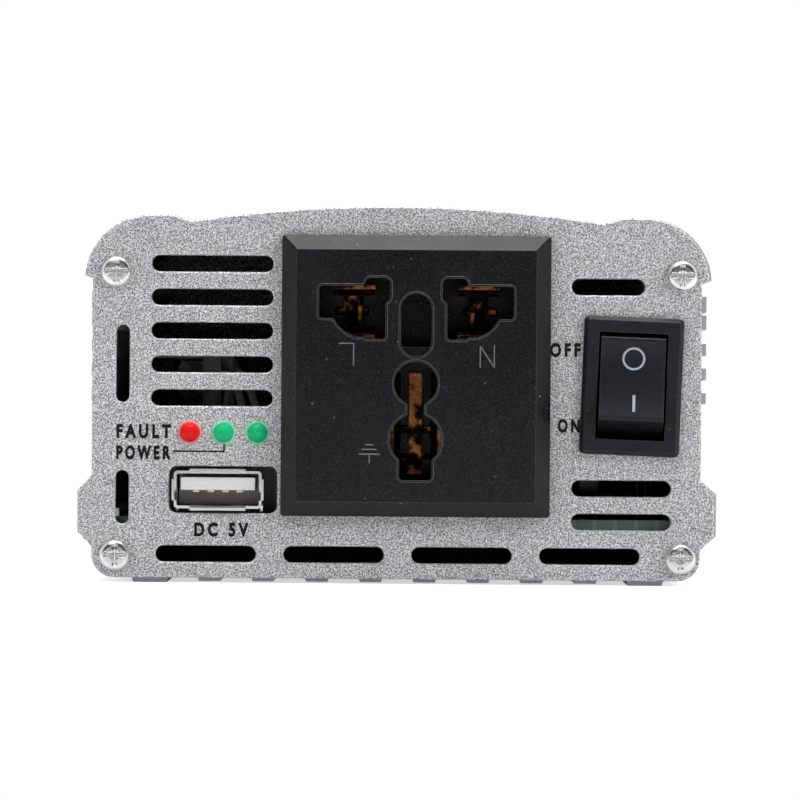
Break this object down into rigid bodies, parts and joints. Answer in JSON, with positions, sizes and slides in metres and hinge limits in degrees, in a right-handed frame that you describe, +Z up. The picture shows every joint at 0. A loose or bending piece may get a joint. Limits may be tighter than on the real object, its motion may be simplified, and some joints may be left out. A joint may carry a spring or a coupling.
{
  "type": "power inverter",
  "caption": "Compact DC to AC power inverter: ribbed aluminium case, slotted front plate with a universal mains socket, USB outlet, status lights and rocker switch, rear fan and battery posts.",
  "frame": {"origin": "middle of the case's footprint, on the surface that its fins rest on", "axes": "-Y out of the front plate, +X to the right seen from the front, +Z up"},
  "size_m": [0.0961, 0.176, 0.0568],
  "materials": {
    "silver_paint": "sandy silver powder paint",
    "dark_paint": "silver anodised extrusion",
    "screw_steel": "bright plated steel",
    "socket_plastic": "fine-grained black",
    "switch_plastic": "black",
    "contact_bronze": "phosphor bronze",
    "brass": "plain",
    "usb_steel": "nickel plated",
    "white_plastic": "moulded",
    "gold": "gold flashed",
    "red_lens": "tinted lens",
    "green_lens": "tinted lens",
    "tinned": "tinned",
    "board": "green solder mask",
    "sink_aluminium": "mill finish",
    "chip_plastic": "epoxy",
    "grey_pad": "silicone",
    "ferrite": "ferrite",
    "bobbin_plastic": "black phenolic",
    "winding_tape": "yellow tape",
    "can_sleeve": "dark blue sleeve",
    "fuse_plastic": "amber",
    "copper": "enamelled copper",
    "black_plastic": "moulded",
    "red_plastic": "moulded",
    "wire_brown": "insulation",
    "wire_blue": "insulation",
    "wire_green": "insulation",
    "wire_red": "insulation",
    "wire_black": "insulation",
    "wire_white": "insulation"
  },
  "bodies": {
    "case": {"top_cover": "dark_paint", "bottom_tray": "dark_paint", "front_plate": "silver_paint", "rear_plate": "silver_paint", "plate_screws": "screw_steel", "socket_body": "socket_plastic", "socket_back": "socket_plastic", "live_contact": "contact_bronze", "neutral_contact": "contact_bronze", "earth_contact": "contact_bronze", "switch_housing": "switch_plastic", "switch_terminals": "brass", "usb_shell": "usb_steel", "usb_tongue": "white_plastic", "usb_contacts": "gold", "red_light": "red_lens", "green_lights": "green_lens", "light_leads": "tinned", "indicator_board": "board", "indicator_plug": "white_plastic", "main_board": "board", "heat_sinks": "sink_aluminium", "transistor_bodies": "chip_plastic", "transistor_frames": "tinned", "transistor_screws": "screw_steel", "insulating_pads": "grey_pad", "transformer_cores": "ferrite", "transformer_bobbins": "bobbin_plastic", "transformer_windings": "winding_tape", "high_voltage_capacitors": "can_sleeve", "input_capacitors": "can_sleeve", "blade_fuses": "fuse_plastic", "choke_core": "ferrite", "choke_winding": "copper", "buzzer": "black_plastic", "control_chips": "chip_plastic", "fan_frame": "black_plastic", "fan_stator": "copper", "fan_screws": "screw_steel", "post_studs": "brass", "post_nuts": "brass", "post_lugs": "tinned", "post_bases": "black_plastic", "red_input_lead": "wire_red", "black_input_lead": "wire_black", "live_wire": "wire_brown", "neutral_wire": "wire_blue", "earth_wire": "wire_green", "switch_leads": "wire_black", "fan_leads": "wire_red", "signal_cable": "wire_white"},
    "rocker": {"switch_rocker": "switch_plastic", "switch_plunger": "white_plastic", "switch_spring": "screw_steel"},
    "contact_lever": {"switch_contact_lever": "copper"},
    "fan_rotor": {"fan_rotor": "black_plastic"},
    "red_washer": {"red_washer": "brass"},
    "red_knob": {"red_knob": "red_plastic"},
    "black_washer": {"black_washer": "brass"},
    "black_knob": {"black_knob": "black_plastic"}
  },
  "joints": [
    {"name": "rocker_tilt", "type": "hinge", "parent": "case", "child": "rocker", "pos_m": [0.035, -0.08015, 0.03], "axis": [0.9994, 0, -0.0358], "range_deg": [0, 21]},
    {"name": "contact_tilt", "type": "hinge", "parent": "case", "child": "contact_lever", "pos_m": [0.035, -0.07295, 0.03], "axis": [0.9994, 0, -0.0358], "range_deg": [-12.6, 0]},
    {"name": "fan_spin", "type": "hinge", "parent": "case", "child": "fan_rotor", "pos_m": [0, 0.063, 0.031], "axis": [0, 1, 0], "continuous": true},
    {"name": "red_washer_travel", "type": "slide", "parent": "case", "child": "red_washer", "axis": [0, 1, 0], "range_m": [0, 0.006]},
    {"name": "red_knob_turn", "type": "hinge", "parent": "red_washer", "child": "red_knob", "pos_m": [-0.033, 0.078, 0.031], "axis": [0, 1, 0], "range_deg": [0, 2160]},
    {"name": "black_washer_travel", "type": "slide", "parent": "case", "child": "black_washer", "axis": [0, 1, 0], "range_m": [0, 0.006]},
    {"name": "black_knob_turn", "type": "hinge", "parent": "black_washer", "child": "black_knob", "pos_m": [0.033, 0.078, 0.031], "axis": [0, 1, 0], "range_deg": [0, 2160]}
  ],
  "couplings": [
    {"joint": "contact_tilt", "follows": "rocker_tilt", "ratio": -0.6},
    {"joint": "red_knob_turn", "follows": "red_washer_travel", "rad_per_m": 6283.2},
    {"joint": "black_knob_turn", "follows": "black_washer_travel", "rad_per_m": 6283.2}
  ]
}
